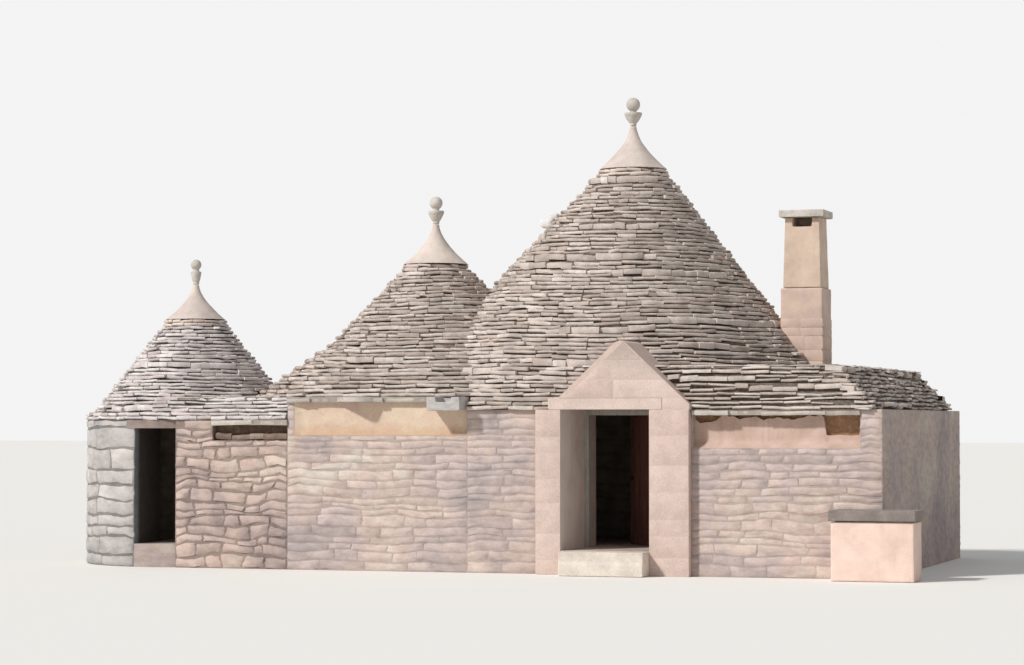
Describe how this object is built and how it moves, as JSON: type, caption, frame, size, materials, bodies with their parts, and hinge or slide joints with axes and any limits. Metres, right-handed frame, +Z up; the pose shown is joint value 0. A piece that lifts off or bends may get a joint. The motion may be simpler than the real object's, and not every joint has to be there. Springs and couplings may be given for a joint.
{
  "type": "trullo house",
  "caption": "Dry-stone trullo house: joined rooms under stepped cone roofs with plaster caps and finials, a gabled doorway with a hinged door, a chimney and a bench.",
  "frame": {"origin": "on the ground under the large room, on the line that the large cone is built round", "axes": "+X to the right along the facade, +Y from the facade to the rear, +Z up; the facade faces -Y"},
  "size_m": [10.495, 5.77, 5.633],
  "materials": {
    "wall_stone": "matte",
    "drum_stone": "matte",
    "roof_slabs": "matte",
    "roof_slabs_small": "matte",
    "edge_slabs": "matte",
    "cap_plaster": "matte",
    "finial_stone": "matte",
    "band_plaster": "matte",
    "surround_stone": "matte",
    "cream_plaster": "matte",
    "paving": "matte",
    "bench_top": "matte",
    "door_wood": "satin"
  },
  "bodies": {
    "house": {"floor_large": "paving", "floor_medium": "paving", "floor_small": "paving", "door_steps": "surround_stone", "front_wall_left": "wall_stone", "front_wall_right": "wall_stone", "right_wall": "wall_stone", "rear_wall": "wall_stone", "arch_wall": "wall_stone", "front_wall_medium": "wall_stone", "rear_wall_medium": "wall_stone", "small_wall_front_left": "drum_stone", "small_wall_rear_left": "drum_stone", "small_wall_front_right": "wall_stone", "small_wall_rear_right": "wall_stone", "small_door_lintel": "drum_stone", "plaster_bands": "band_plaster", "eave_slabs": "edge_slabs", "spout_stone": "edge_slabs", "roof_large_base": "roof_slabs", "roof_large_lower": "roof_slabs", "roof_large_middle": "roof_slabs", "roof_large_upper": "roof_slabs", "cap_large": "cap_plaster", "finial_large": "finial_stone", "roof_medium_lower": "roof_slabs", "roof_medium_upper": "roof_slabs", "cap_medium": "cap_plaster", "finial_medium": "finial_stone", "roof_small_base": "roof_slabs_small", "roof_small_upper": "roof_slabs_small", "cap_small": "cap_plaster", "finial_small": "finial_stone", "chimney_base": "cream_plaster", "chimney_shaft": "cream_plaster", "chimney_cap": "edge_slabs", "doorway_piers": "surround_stone", "door_lintel": "surround_stone", "doorway_gable": "surround_stone", "door_frame": "door_wood", "bench_body": "cream_plaster", "bench_slab": "bench_top"},
    "door": {"door_leaf": "door_wood"}
  },
  "joints": [
    {"name": "door_hinge", "type": "hinge", "parent": "house", "child": "door", "pos_m": [1.0485, -1.6785, 0.9], "axis": [0, 0, -1], "range_deg": [-48, 42]}
  ]
}
